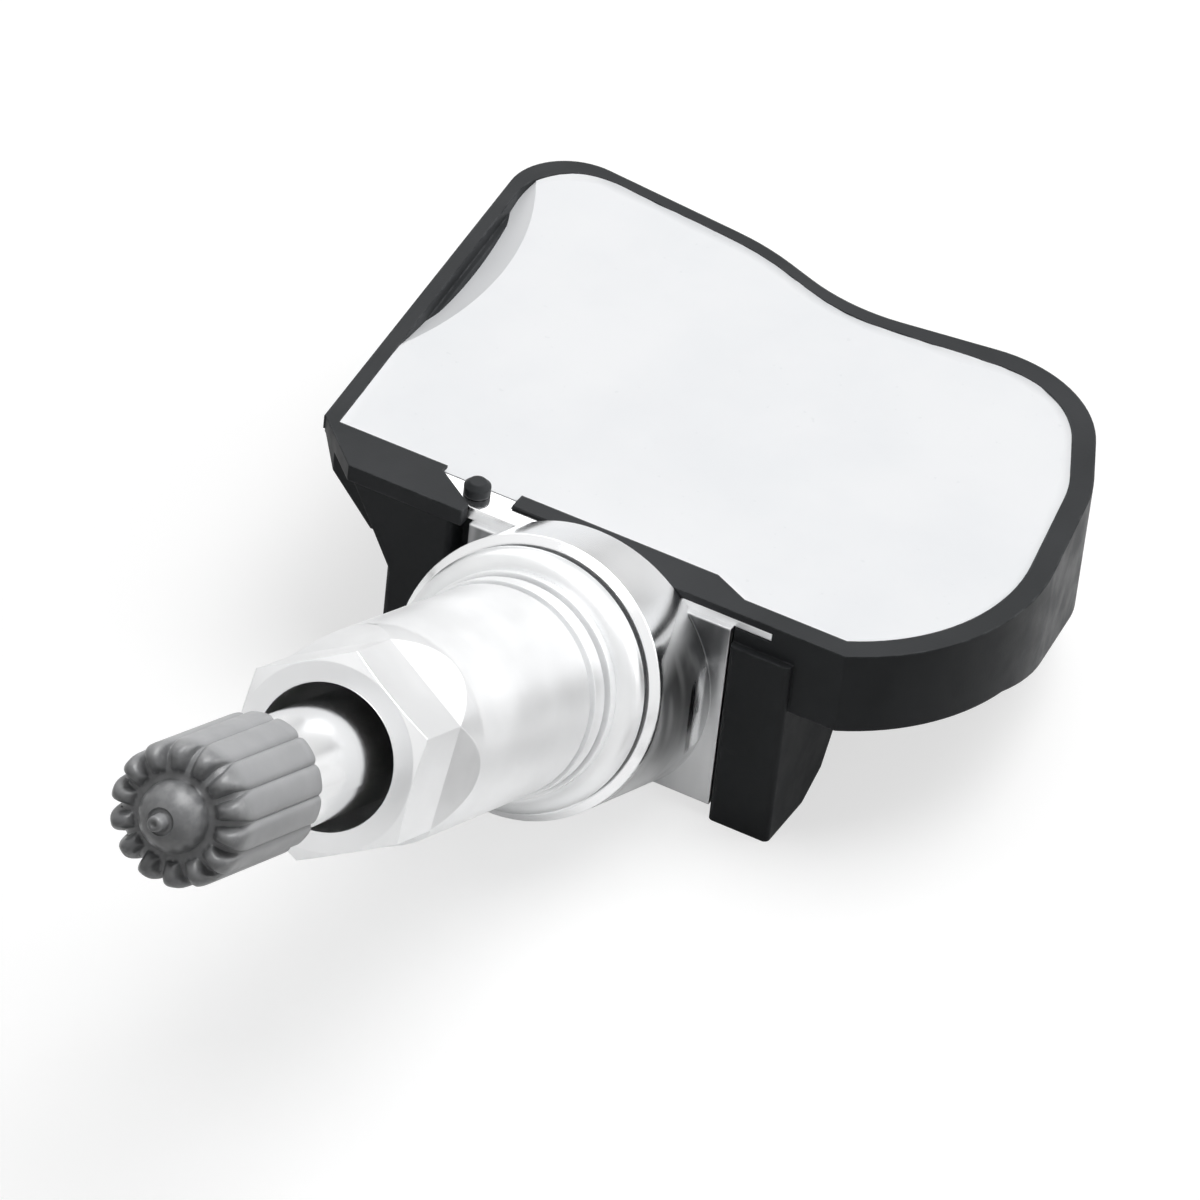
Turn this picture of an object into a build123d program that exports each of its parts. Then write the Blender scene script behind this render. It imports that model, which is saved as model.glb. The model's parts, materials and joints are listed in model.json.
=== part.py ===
"""Tyre pressure sensor with its clamp-in valve, in millimetres.

The origin is the centre of the valve seat, the face that the seal ring sits on. The stem leaves it
towards -Y and rises by stem_tilt. The housing lies behind it, with its open, potted side up (+Z).
"""
from math import acos, atan2, cos, degrees, radians, sin, sqrt, tan
import os

from build123d import *

os.makedirs("parts", exist_ok=True)

# Clearances
seat_gap = 0.05
running_gap = 0.05
pass_gap = 0.25

# Where the housing stands from the valve seat
stem_tilt = 24.0
seat_reach = 12.0
seat_drop = 4.0

# Tray: plan sizes are measured from the stem's plane and from the potting's front edge
tray_depth = 6.1
floor_wall = 1.1
side_wall = 1.0
end_wall = 1.6
front_wall = 1.6
left_reach = 21.6
left_back_reach = 24.8
left_back_depth = 35.6
left_back_radius = 4.5
hump_x = -6.5
hump_depth = 33.6
hump_radius = 18.0
waist_x = 1.2
waist_depth = 30.6
waist_radius = 14.0
end_x = 10.5
end_depth = 10.2
end_radius = 15.0
end_flare = 1.2
flank_x = 12.5
flank_depth = 18.5
flank_radius = 11.6
shoulder_x = 13.0
shoulder_depth = 23.0
shoulder_radius = 9.3
end_lip = 1.0
end_rake = 42.0
slope_start = 7.0
floor_slope = 14.0
step_x = 7.4
step_ramp = 2.6
step_depth = 1.3
potting_drop = 0.2
scoop_radius = 52.5
scoop_width = 2.6
scoop_bite = 1.3
scoop_depth = 21.0

# Front lip of the tray, and the notch that shows the valve body's lug
lip_reach = 2.8
lip_height = 0.55
band_reach = 3.7
band_corner_x = -17.8
notch_left_x = -12.5
notch_shoulder = 0.6
notch_toe_x = -9.4
notch_right_x = -7.0
lip_step_x = -4.4
lip_step_reach = 1.3
dam_wall = 0.45
dam_drop = 0.3

# Legs
leg_inner_x = 10.2
leg_width = 4.4
leg_reach = 3.4
leg_height = 16.7
leg_depth = 7.4
leg_flat = 5.0
leg_heel_rise = 1.4
leg_back_run = 4.9
leg_top_step = 2.3
gusset_width = 3.0
gusset_height = 6.7
leg_edge_radius = 0.4

# Valve body: the block between the legs, its bar and lug, the boss and the stem
block_reach = 3.2
block_height = 15.7
block_rebate = 1.1
heel_depth = 3.5
bar_height = 0.55
bar_depth = 0.6
bar_right_x = 12.8
lug_rise = 0.38
boss_radius = 9.3
boss_edge = 0.5
boss_foot = 0.7
root_radius = 5.0
root_core_radius = 4.6
root_length = 13.5
neck_radius = 3.65
tip_radius = 3.8
tip_core_radius = 3.45
tip_length = 10.0
tip_bevel = 0.5
stem_length = 48.6
air_radius = 1.5

# Moulded stake that holds the lug
stake_x = -9.65
stake_depth = 1.2
stake_radius = 0.5
stake_head_radius = 0.9
stake_head_height = 0.95
stake_head_bevel = 0.35

# Screws that hold the valve body under the tray
screw_x = 6.4
screw_depth = 0.9
screw_radius = 1.0
screw_length = 11.2
screw_head_radius = 1.9
screw_head_height = 1.5
screw_socket_width = 1.5
screw_socket_depth = 0.8
screw_post_radius = 2.0
screw_post_cap = 0.8

# Seal ring, clamp ring and sleeve nut, set out along the stem from the seat
hole_radius = 5.65
seal_radius = 8.4
seal_thickness = 0.5
seal_spigot = 2.9
clamp_radius = 8.65
clamp_thickness = 1.5
clamp_front_radius = 7.5
nut_across_flats = 12.0
nut_length = 27.9
nut_collar_radius = 7.35
nut_collar_length = 0.8
nut_groove_radius = 6.5
nut_groove_length = 0.5
nut_band_radius = 7.1
nut_band_length = 1.4
nut_thread_length = 12.0
nut_web = 2.0
nut_recess_radius = 4.65
nut_face_radius = 5.95
nut_face_bevel = 0.4
hex_length = 5.2
hex_runout = 3.0

# Valve cap
cap_radius = 4.45
cap_valley_radius = 4.15
cap_length = 11.6
cap_cover = 9.1
cap_lobes = 14
cap_lobe_radius = 0.95
cap_shoulder = 1.4
cap_face_radius = 3.5
cap_dish = 0.4
cap_dome_radius = 2.2
cap_dome_height = 2.15
cap_dimple_radius = 0.9
cap_dimple_depth = 0.3
cap_nipple_radius = 0.5
cap_nipple_height = 0.7
cap_slot_radius = 0.38
cap_slot_start = 2.6
cap_slot_clear = 0.4
cap_seal_thickness = 0.8
cap_seal_bore = 1.6

# Valve core
core_chamber_radius = 2.1
core_chamber_length = 22.0
core_thread_radius = 2.6
core_tip_drop = 0.6
core_head_length = 4.4
core_barrel_radius = 1.7
core_barrel_length = 12.0
core_bore_radius = 1.25
core_lip_length = 1.2
core_lip_bore = 0.8
core_guide_length = 3.0
core_gasket_length = 1.6
core_gasket_lift = 5.0
core_bridge_width = 2.2
core_bridge_height = 1.5
pin_radius = 0.45
pin_collar_radius = 1.05
pin_collar_length = 0.6
pin_tail = 0.8
core_cup_radius = 1.6
core_cup_length = 1.4
spring_wire = 0.24
spring_turns = 5

# Circuit board and cell
board_thickness = 0.8
board_lift = 1.2
board_left_x = -14.6
board_right_x = -1.2
board_front_depth = 3.4
board_back_depth = 28.4
board_arm_x = 15.0
board_arm_depth = 23.0
board_arm_back_depth = 27.6
cell_x = 11.8
cell_depth = 12.0
cell_radius = 10.0
cell_height = 3.2
cell_cap_radius = 8.6
cell_cap_height = 0.6
tab_thickness = 0.2
tab_width = 4.0
tab_overlap = 6.0
tab_landing = 2.5
tab_top_clear = 1.2
tab_bottom_clear = 0.6

# Parts on the board
chip_x = -8.5
chip_depth = 12.0
chip_width = 6.0
chip_length = 7.0
port_radius = 0.8
port_post_radius = 2.4
gasket_radius = 2.0
gasket_bore = 1.0
gasket_height = 0.4
coil_x = -9.0
coil_depth = 26.0
coil_length = 7.4
coil_width = 2.6
coil_flange = 0.8
coil_core_width = 1.3
coil_winding_width = 2.2
crystal_x = -5.0
crystal_depth = 19.0
crystal_length = 3.2
crystal_width = 2.5
crystal_height = 0.8
capacitor_x = -9.0
capacitor_depth = 7.0
capacitor_length = 3.2
capacitor_width = 1.6
capacitor_height = 1.6
capacitor_pitch = 5.0
antenna_wire = 0.5
antenna_span = 10.0
antenna_rise = 2.2
antenna_x = 7.0
antenna_depth = 26.5
antenna_bend = 0.8

# Worked-out values
stem_direction = (0, -cos(radians(stem_tilt)), sin(radians(stem_tilt)))
stem_axis = Axis((0, 0, 0), stem_direction)
stem_plane = Plane(origin=(0, 0, 0), x_dir=(1, 0, 0), z_dir=stem_direction)
# Turned outlines are drawn here: X is the radius, Y the distance along the stem from the seat
profile_plane = Plane(
    origin=(0, 0, 0),
    x_dir=(1, 0, 0),
    z_dir=(0, -sin(radians(stem_tilt)), -cos(radians(stem_tilt))),
)
# Plans are drawn here: the origin is in the rim's top face, over the potting's front edge
rim_plane = Plane(origin=(0, seat_reach, seat_drop))
floor_top = -tray_depth + floor_wall
slope_run = left_back_depth - slope_start
back_depth = tray_depth + slope_run * tan(radians(floor_slope))
bar_top = -lip_height - seat_gap
bar_bottom = bar_top - bar_height
bar_reach = lip_reach - seat_gap
lug_top = bar_top + lug_rise
block_half_width = leg_inner_x - 2 * seat_gap
leg_outer_x = leg_inner_x + leg_width
screw_tip = -block_height + screw_head_height + screw_length
root_thread_start = seal_thickness + seal_spigot
nut_start = seal_thickness + clamp_thickness
nut_end = nut_start + nut_length
nut_radius = nut_across_flats / 2 / cos(radians(30))
nut_spigot_end = root_thread_start + pass_gap
cap_start = stem_length - cap_cover
cap_end = cap_start + cap_length
cap_bore_end = stem_length + cap_seal_thickness
core_top = stem_length - core_tip_drop
core_head_base = core_top - core_head_length
core_barrel_base = core_head_base - core_barrel_length
core_guide_base = core_head_base - core_guide_length
board_bottom = floor_top + board_lift
board_top = board_bottom + board_thickness
cell_bottom = floor_top + tab_thickness
cell_top = cell_bottom + cell_height


def slab(level, x_span, y_span, height, mode=Mode.ADD):
    """A block in plan on the rim plane: the level of its foot, its two spans and its height."""
    with BuildSketch(rim_plane.offset(level)) as plan:
        with Locations(((x_span[0] + x_span[1]) / 2, (y_span[0] + y_span[1]) / 2)):
            Rectangle(x_span[1] - x_span[0], y_span[1] - y_span[0])
    extrude(plan.sketch, amount=height, mode=mode)


def post(level, centre, radius, height, mode=Mode.ADD):
    """An upright cylinder on the rim plane."""
    with BuildSketch(rim_plane.offset(level)) as plan:
        with Locations(centre):
            Circle(radius)
    extrude(plan.sketch, amount=height, mode=mode)


def turn(points, mode=Mode.ADD):
    """A body turned about the stem, from its outline in (radius, distance from the seat)."""
    with BuildSketch(profile_plane) as outline:
        with BuildLine():
            Polyline(*points, close=True)
        make_face()
    revolve(outline.sketch, axis=stem_axis, mode=mode)


def tube(inner, outer, start, end, mode=Mode.ADD):
    """A ring or disc about the stem."""
    turn([(inner, start), (outer, start), (outer, end), (inner, end)], mode)


def tangent_point(centre, radius, point):
    """Where a line from the point touches the circle, on its back side."""
    dx = point[0] - centre[0]
    dy = point[1] - centre[1]
    angle = atan2(dy, dx) - acos(radius / sqrt(dx * dx + dy * dy))
    return (centre[0] + radius * cos(angle), centre[1] + radius * sin(angle))


def end_hull(grow):
    """Plan of the tray's round end: three circles and the lines that touch them."""
    with BuildSketch() as hull:
        with Locations((end_x, end_depth)):
            Circle(end_radius + grow)
        with Locations((shoulder_x, shoulder_depth)):
            Circle(shoulder_radius + grow)
        with Locations((flank_x, flank_depth)):
            Circle(flank_radius + grow)
        make_hull()
    return hull.sketch


def tray_plan(side, end, front, step, step_start):
    """Plan of the tray, drawn in by its walls. Right of step_start its front line lies at step."""
    shoulder = (shoulder_x, shoulder_depth)
    shoulder_inner = shoulder_radius - end
    waist = (waist_x, waist_depth - side)
    hump = (hump_x, hump_depth - side)
    corner = (-left_back_reach + side, left_back_depth - side)
    with BuildSketch() as body:
        with BuildLine():
            Polyline(
                (-left_reach + side, -front),
                corner,
                hump,
                waist,
                tangent_point(shoulder, shoulder_inner, waist),
                shoulder,
                (end_x, end_depth),
                (end_x, -front),
                close=True,
            )
        make_face()
        fillet(body.vertices().sort_by_distance(Vector(*corner))[0], left_back_radius)
        fillet(body.vertices().sort_by_distance(Vector(*hump))[0], hump_radius)
        fillet(body.vertices().sort_by_distance(Vector(*waist))[0], waist_radius)
    with BuildSketch() as lobe:
        add(end_hull(-end))
        with Locations((step_start, -step)):
            Rectangle(2 * end_radius, end_radius, align=(Align.MIN, Align.MAX), mode=Mode.SUBTRACT)
        with Locations((step_start, -front)):
            Rectangle(2 * end_radius, end_radius, align=(Align.MAX, Align.MAX), mode=Mode.SUBTRACT)
    with BuildSketch() as plan:
        add(body.sketch)
        add(lobe.sketch)
    return plan.sketch


def rake_wedge(wall):
    """What the rake under the tray's left end takes away, moved in by a wall for the cavity."""
    lean = atan2(left_back_reach - left_reach, left_back_depth)
    rake_plane = Plane(
        origin=(-left_reach, seat_reach, seat_drop - end_lip),
        x_dir=(-cos(lean), -sin(lean), 0),
        z_dir=(-sin(lean), cos(lean), 0),
    )
    inset = wall / cos(radians(end_rake))
    run = back_depth * tan(radians(end_rake))
    with BuildPart() as wedge:
        with BuildSketch(rake_plane):
            with BuildLine():
                Polyline(
                    (-inset, 0),
                    (-inset - run, -back_depth),
                    (end_radius, -back_depth),
                    (end_radius, 0),
                    close=True,
                )
            make_face()
        extrude(amount=2 * left_back_depth, both=True)
    return wedge.part


def notch_plan():
    """Plan of the notch in the tray's front that takes the valve body's lug."""
    with BuildSketch() as plan:
        with BuildLine():
            Polyline(
                (notch_left_x, -dam_wall),
                (notch_left_x, -notch_shoulder),
                (notch_toe_x, -lip_reach),
                (notch_toe_x, -band_reach),
                (lip_step_x, -band_reach),
                (lip_step_x, -lip_step_reach),
                (notch_right_x, -lip_step_reach),
                (notch_right_x, -dam_wall),
                close=True,
            )
        make_face()
    return plan.sketch


# What lies below the tray: level in front, then sloping down towards the back
tray_side = Plane(origin=(0, seat_reach, seat_drop), x_dir=(0, 1, 0), z_dir=(1, 0, 0))
with BuildPart() as below_tray:
    with BuildSketch(tray_side):
        with BuildLine():
            Polyline(
                (-end_radius, -tray_depth),
                (slope_start, -tray_depth),
                (slope_start + 2 * slope_run, -2 * back_depth + tray_depth),
                (-end_radius, -2 * back_depth + tray_depth),
                close=True,
            )
        make_face()
    extrude(amount=2 * left_back_reach, both=True)

# The space inside the tray, which the potting fills
with BuildPart() as cavity:
    with BuildSketch(rim_plane):
        add(tray_plan(side_wall, end_wall, 0, step_depth, step_x + step_ramp))
        with BuildLine():
            Polyline(
                (step_x, 0),
                (step_x + step_ramp, -step_depth),
                (step_x + 2 * step_ramp, -step_depth),
                (step_x + 2 * step_ramp, 0),
                close=True,
            )
        make_face()
    extrude(amount=-back_depth)
    add(rake_wedge(side_wall), mode=Mode.SUBTRACT)
    add(Pos(0, 0, floor_wall) * below_tray.part, mode=Mode.SUBTRACT)

# Moulded posts in the tray: two for the screws, and one that carries the pressure port's gasket
with BuildPart() as tray_posts:
    for side in (-1, 1):
        post(floor_top, (side * screw_x, screw_depth), screw_post_radius,
             screw_tip + screw_post_cap - floor_top)
    post(-back_depth, (chip_x, chip_depth), port_post_radius, floor_top + back_depth)
    add(below_tray.part, mode=Mode.SUBTRACT)

# Legs: a front outline, cut to the side outline
leg_front = Plane(origin=(0, seat_reach - leg_reach, seat_drop), x_dir=(1, 0, 0), z_dir=(0, -1, 0))
leg_side = Plane(origin=(0, seat_reach - leg_reach, seat_drop), x_dir=(0, 1, 0), z_dir=(1, 0, 0))
with BuildPart() as legs:
    with BuildSketch(leg_front):
        with BuildLine():
            Polyline(
                (-leg_inner_x, -leg_height),
                (-leg_inner_x, bar_bottom - seat_gap),
                (-leg_outer_x - gusset_width, bar_bottom - seat_gap),
                (-leg_outer_x, -gusset_height),
                (-leg_outer_x, -leg_height),
                close=True,
            )
        make_face()
        with BuildLine():
            Polyline(
                (leg_inner_x, -leg_height),
                (leg_inner_x, -leg_top_step),
                (leg_outer_x, -leg_top_step),
                (leg_outer_x, -leg_height),
                close=True,
            )
        make_face()
    extrude(amount=-leg_depth - leg_back_run)
    with BuildSketch(leg_side):
        with BuildLine():
            Polyline(
                (0, 0),
                (0, -leg_height),
                (leg_flat, -leg_height),
                (leg_depth, -leg_height + leg_heel_rise),
                (leg_depth + leg_back_run, -tray_depth),
                (leg_depth + leg_back_run, 0),
                close=True,
            )
        make_face()
    extrude(amount=left_reach, both=True, mode=Mode.INTERSECT)
    fillet(legs.edges().filter_by(Axis.Z).group_by(Axis.Y)[0], leg_edge_radius)

# The round end's wall leans out towards its foot
with BuildPart() as end_skirt:
    with BuildSketch(rim_plane):
        add(end_hull(0))
    with BuildSketch(rim_plane.offset(-back_depth)):
        add(end_hull(end_flare))
    loft()
    slab(-back_depth, (-end_radius, leg_outer_x), (-end_radius, end_depth), back_depth,
         mode=Mode.SUBTRACT)
    slab(-back_depth, (leg_outer_x, 2 * left_reach), (-end_radius, -lip_reach), back_depth,
         mode=Mode.SUBTRACT)

# Housing
with BuildPart() as housing:
    with BuildSketch(rim_plane):
        add(tray_plan(0, 0, front_wall, lip_reach, leg_inner_x))
        with BuildLine():
            Polyline(
                (-left_reach, 0),
                (band_corner_x, -band_reach),
                (-left_back_reach, -band_reach),
                (-left_back_reach, 0),
                close=True,
            )
        make_face(mode=Mode.SUBTRACT)
    extrude(amount=-back_depth)
    add(end_skirt.part)
    add(rake_wedge(0), mode=Mode.SUBTRACT)
    add(below_tray.part, mode=Mode.SUBTRACT)
    add(legs.part)
    with BuildSketch(rim_plane):
        with BuildLine():
            Polyline(
                (-left_reach, 0),
                (band_corner_x, -band_reach),
                (notch_toe_x, -band_reach),
                (notch_toe_x, 0),
                close=True,
            )
        make_face()
    extrude(amount=bar_bottom - seat_gap)
    slab(-lip_height, (notch_right_x, leg_outer_x), (-lip_reach, -front_wall), lip_height)
    add(cavity.part, mode=Mode.SUBTRACT)
    add(tray_posts.part)
    with BuildSketch(rim_plane.offset(bar_bottom - seat_gap)):
        add(notch_plan())
    extrude(amount=tray_depth, mode=Mode.SUBTRACT)
    slab(-potting_drop - dam_drop, (notch_left_x, notch_right_x), (-dam_wall, 0), tray_depth,
         mode=Mode.SUBTRACT)
    slab(bar_bottom - seat_gap, (leg_inner_x, bar_right_x + seat_gap),
         (-lip_reach, -bar_reach + bar_depth + seat_gap), bar_height + 2 * seat_gap, mode=Mode.SUBTRACT)
    post(bar_bottom - seat_gap, (stake_x, -stake_depth), stake_radius, lug_top - bar_bottom + 2 * seat_gap)
    post(lug_top + seat_gap, (stake_x, -stake_depth), stake_head_radius, stake_head_height)
    chamfer(housing.faces().filter_by(Plane.XY).sort_by(Axis.Z)[-1].edges(), stake_head_bevel)
    for side in (-1, 1):
        post(-tray_depth, (side * screw_x, screw_depth), screw_radius, screw_tip + tray_depth,
             mode=Mode.SUBTRACT)
    post(-back_depth, (chip_x, chip_depth), port_radius, floor_top + back_depth, mode=Mode.SUBTRACT)
housing.part.label = "housing"
export_step(housing.part, "parts/housing.step")

# Valve body: the boss is cut back from the tray before it joins the block
with BuildPart() as boss:
    tube(0, boss_radius, -2 * seat_reach, 0)
    chamfer(boss.edges().sort_by(stem_axis)[-1], boss_edge)
    slab(bar_top, (-end_radius, end_radius), (-lip_reach - seat_gap, end_radius), tray_depth,
         mode=Mode.SUBTRACT)
    slab(-2 * leg_height, (-end_radius, end_radius), (-block_reach + boss_foot, 2 * end_radius),
         2 * leg_height, mode=Mode.SUBTRACT)
    slab(-2 * leg_height, (-end_radius, end_radius), (-2 * end_radius, end_radius),
         2 * leg_height - block_height - boss_foot, mode=Mode.SUBTRACT)

with BuildPart() as valve_body:
    slab(-block_height, (-block_half_width, block_half_width), (-block_reach, -front_wall - seat_gap),
         block_height + bar_bottom)
    slab(-block_height, (-block_half_width, block_half_width), (-block_reach, heel_depth),
         block_height - tray_depth - seat_gap)
    slab(-block_height, (-block_half_width, block_rebate - block_half_width),
         (-block_reach, -front_wall - seat_gap), block_height + bar_bottom, mode=Mode.SUBTRACT)
    slab(bar_bottom, (notch_toe_x + seat_gap, bar_right_x), (-bar_reach, -bar_reach + bar_depth), bar_height)
    with BuildSketch(rim_plane.offset(bar_bottom)):
        add(notch_plan())
        offset(amount=-seat_gap, kind=Kind.INTERSECTION, mode=Mode.REPLACE)
        with Locations((notch_left_x, -bar_reach)):
            Rectangle(end_radius, end_radius, align=(Align.MIN, Align.MAX), mode=Mode.SUBTRACT)
    extrude(amount=lug_top - bar_bottom)
    post(bar_bottom, (stake_x, -stake_depth), stake_radius + seat_gap, tray_depth, mode=Mode.SUBTRACT)
    add(boss.part)
    turn([
        (0, 0),
        (root_radius, 0),
        (root_radius, root_thread_start),
        (root_core_radius, root_thread_start + root_radius - root_core_radius),
        (root_core_radius, root_length),
        (neck_radius, root_length + root_core_radius - neck_radius),
        (neck_radius, stem_length - tip_length),
        (tip_core_radius, stem_length - tip_length + neck_radius - tip_core_radius),
        (tip_core_radius, stem_length - tip_bevel),
        (tip_core_radius - tip_bevel, stem_length),
        (0, stem_length),
    ])
    tube(0, air_radius, -3 * seat_reach, stem_length, mode=Mode.SUBTRACT)
    tube(0, core_chamber_radius, stem_length - core_chamber_length, stem_length, mode=Mode.SUBTRACT)
    tube(0, core_thread_radius, core_head_base, stem_length, mode=Mode.SUBTRACT)
    for side in (-1, 1):
        post(-block_height, (side * screw_x, screw_depth), screw_radius + seat_gap, block_height,
             mode=Mode.SUBTRACT)
        post(-block_height, (side * screw_x, screw_depth), screw_head_radius + pass_gap, screw_head_height,
             mode=Mode.SUBTRACT)
valve_body.part.label = "valve_body"
export_step(valve_body.part, "parts/valve_body.step")

# Screws from below, through the heel into the posts
for side, side_name in ((-1, "left"), (1, "right")):
    with BuildPart() as base_screw:
        post(-block_height, (side * screw_x, screw_depth), screw_head_radius, screw_head_height)
        post(-block_height, (side * screw_x, screw_depth), screw_radius, screw_head_height + screw_length)
        with BuildSketch(rim_plane.offset(-block_height)):
            with Locations((side * screw_x, screw_depth)):
                RegularPolygon(screw_socket_width / 2, 6, major_radius=False)
        extrude(amount=screw_socket_depth, mode=Mode.SUBTRACT)
    base_screw.part.label = "base_screw_" + side_name
    export_step(base_screw.part, "parts/base_screw_" + side_name + ".step")

# Rubber seal ring, with the spigot that centres it in the wheel's valve hole
with BuildPart() as seal_ring:
    tube(root_radius, seal_radius, 0, seal_thickness)
    tube(root_radius, hole_radius, seal_thickness, root_thread_start)
seal_ring.part.label = "seal_ring"
export_step(seal_ring.part, "parts/seal_ring.step")

# Clamp ring with a rounded front, carried by the nut
with BuildPart() as clamp_ring:
    with BuildSketch(profile_plane):
        with BuildLine():
            Polyline(
                (clamp_front_radius, nut_start),
                (hole_radius + running_gap, nut_start),
                (hole_radius + running_gap, seal_thickness),
                (clamp_radius, seal_thickness),
            )
            EllipticalCenterArc(
                (clamp_front_radius, seal_thickness),
                clamp_radius - clamp_front_radius,
                clamp_thickness,
                arc_size=90,
            )
        make_face()
    revolve(axis=stem_axis)
clamp_ring.part.label = "clamp_ring"
export_step(clamp_ring.part, "parts/clamp_ring.step")

# Sleeve nut: turned collar and band, hexagon flats that run out into the round, deep front recess
with BuildPart() as sleeve_nut:
    band_start = nut_start + nut_collar_length + nut_groove_length
    body_start = band_start + nut_band_length + nut_groove_length
    turn([
        (root_radius + running_gap, nut_start),
        (nut_collar_radius, nut_start),
        (nut_collar_radius, nut_start + nut_collar_length),
        (nut_groove_radius, nut_start + nut_collar_length),
        (nut_groove_radius, band_start),
        (nut_band_radius, band_start),
        (nut_band_radius, band_start + nut_band_length),
        (nut_groove_radius, band_start + nut_band_length),
        (nut_groove_radius, body_start),
        (nut_radius, body_start),
        (nut_radius, nut_end - nut_face_bevel),
        (nut_face_radius, nut_end),
        (nut_recess_radius, nut_end),
        (nut_recess_radius, nut_start + nut_thread_length + nut_web),
        (neck_radius + pass_gap, nut_start + nut_thread_length + nut_web),
        (root_radius + running_gap, nut_start + nut_thread_length),
    ])
    tube(root_radius, hole_radius + running_gap, nut_start, nut_spigot_end, mode=Mode.SUBTRACT)
    runout_start = nut_end - hex_length
    for side in range(6):
        with BuildSketch(profile_plane * Rotation(0, 60 * side, 0)):
            with BuildLine():
                Polyline(
                    (nut_across_flats / 2, nut_end + hex_runout),
                    (nut_across_flats / 2, runout_start),
                    (nut_radius, runout_start - hex_runout),
                    (2 * nut_radius, runout_start - hex_runout),
                    (2 * nut_radius, nut_end + hex_runout),
                    close=True,
                )
            make_face()
        extrude(amount=nut_radius, both=True, mode=Mode.SUBTRACT)
sleeve_nut.part.label = "sleeve_nut"
export_step(sleeve_nut.part, "parts/sleeve_nut.step")

# Valve cap: a lobed bar, cut to a turned outline with a dished and domed end, its valleys deepened in front
with BuildPart() as valve_cap:
    dome_base = cap_end - cap_dish
    dome_top = dome_base + cap_dome_height
    with BuildSketch(stem_plane.offset(cap_start)):
        Circle(cap_valley_radius)
        with PolarLocations(cap_radius - cap_lobe_radius, cap_lobes):
            Circle(cap_lobe_radius)
    extrude(amount=dome_top - cap_start)
    with BuildSketch(profile_plane):
        with BuildLine():
            Polyline(
                (0, dome_top),
                (0, cap_start),
                (cap_radius, cap_start),
                (cap_radius, cap_end - cap_shoulder),
            )
            EllipticalCenterArc(
                (cap_face_radius, cap_end - cap_shoulder),
                cap_radius - cap_face_radius,
                cap_shoulder,
                arc_size=90,
            )
            Line((cap_face_radius, cap_end), (cap_dome_radius, dome_base))
            EllipticalCenterArc(
                (0, dome_base),
                cap_dome_radius,
                cap_dome_height,
                arc_size=90,
            )
        make_face()
    revolve(axis=stem_axis, mode=Mode.INTERSECT)
    slot_run = cap_end - cap_bore_end - cap_slot_clear
    slot_lean = atan2(cap_valley_radius - cap_slot_start, slot_run)
    slot_end = Pos(cap_slot_start, cap_end, 0) * Rotation(0, 0, degrees(slot_lean)) * Pos(cap_slot_radius, 0, 0)
    for valley in range(cap_lobes):
        slot_turn = Rotation(0, (valley + 0.5) * 360 / cap_lobes, 0)
        with Locations(profile_plane * slot_turn * slot_end):
            Cylinder(cap_slot_radius, cap_radius, rotation=(90, 0, 0),
                     align=(Align.CENTER, Align.CENTER, Align.MIN), mode=Mode.SUBTRACT)
            Box(cap_radius, cap_radius, 2 * cap_slot_radius,
                align=(Align.MIN, Align.MAX, Align.CENTER), mode=Mode.SUBTRACT)
    tube(0, cap_dimple_radius, dome_top - cap_dimple_depth, dome_top, mode=Mode.SUBTRACT)
    tube(0, cap_nipple_radius, dome_base, dome_top + cap_nipple_height)
    tube(0, tip_radius + running_gap, cap_start, cap_bore_end, mode=Mode.SUBTRACT)
valve_cap.part.label = "valve_cap"
export_step(valve_cap.part, "parts/valve_cap.step")

with BuildPart() as cap_seal:
    tube(cap_seal_bore, tip_radius, stem_length, cap_bore_end)
cap_seal.part.label = "cap_seal"
export_step(cap_seal.part, "parts/cap_seal.step")

# Valve core: barrel with its threaded head, gasket, pin, cup seal and spring
pin_bore = pin_radius + running_gap
spring_base = core_barrel_base + core_lip_length
collar_top = core_guide_base - seat_gap
with BuildPart() as core_barrel:
    tube(pin_bore, core_thread_radius - running_gap, core_head_base, core_top)
    with BuildSketch(stem_plane.offset(core_top - core_bridge_height)):
        Circle(core_thread_radius)
        Rectangle(core_bridge_width, 2 * core_thread_radius, mode=Mode.SUBTRACT)
    extrude(amount=core_bridge_height, mode=Mode.SUBTRACT)
    turn([
        (pin_bore, core_head_base),
        (core_barrel_radius, core_head_base),
        (core_barrel_radius, core_barrel_base),
        (core_lip_bore, core_barrel_base),
        (core_lip_bore, spring_base),
        (core_bore_radius, spring_base),
        (core_bore_radius, core_guide_base),
        (pin_bore, core_guide_base),
    ])
core_barrel.part.label = "core_barrel"
export_step(core_barrel.part, "parts/core_barrel.step")

with BuildPart() as core_gasket:
    tube(core_barrel_radius, core_chamber_radius, core_barrel_base + core_gasket_lift,
         core_barrel_base + core_gasket_lift + core_gasket_length)
core_gasket.part.label = "core_gasket"
export_step(core_gasket.part, "parts/core_gasket.step")

with BuildPart() as core_pin:
    tube(0, pin_radius, core_barrel_base - core_cup_length - pin_tail, core_top)
    tube(0, pin_collar_radius, collar_top - pin_collar_length, collar_top)
core_pin.part.label = "core_pin"
export_step(core_pin.part, "parts/core_pin.step")

with BuildPart() as core_seal:
    tube(pin_radius, core_cup_radius, core_barrel_base - core_cup_length, core_barrel_base)
core_seal.part.label = "core_seal"
export_step(core_seal.part, "parts/core_seal.step")

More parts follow.
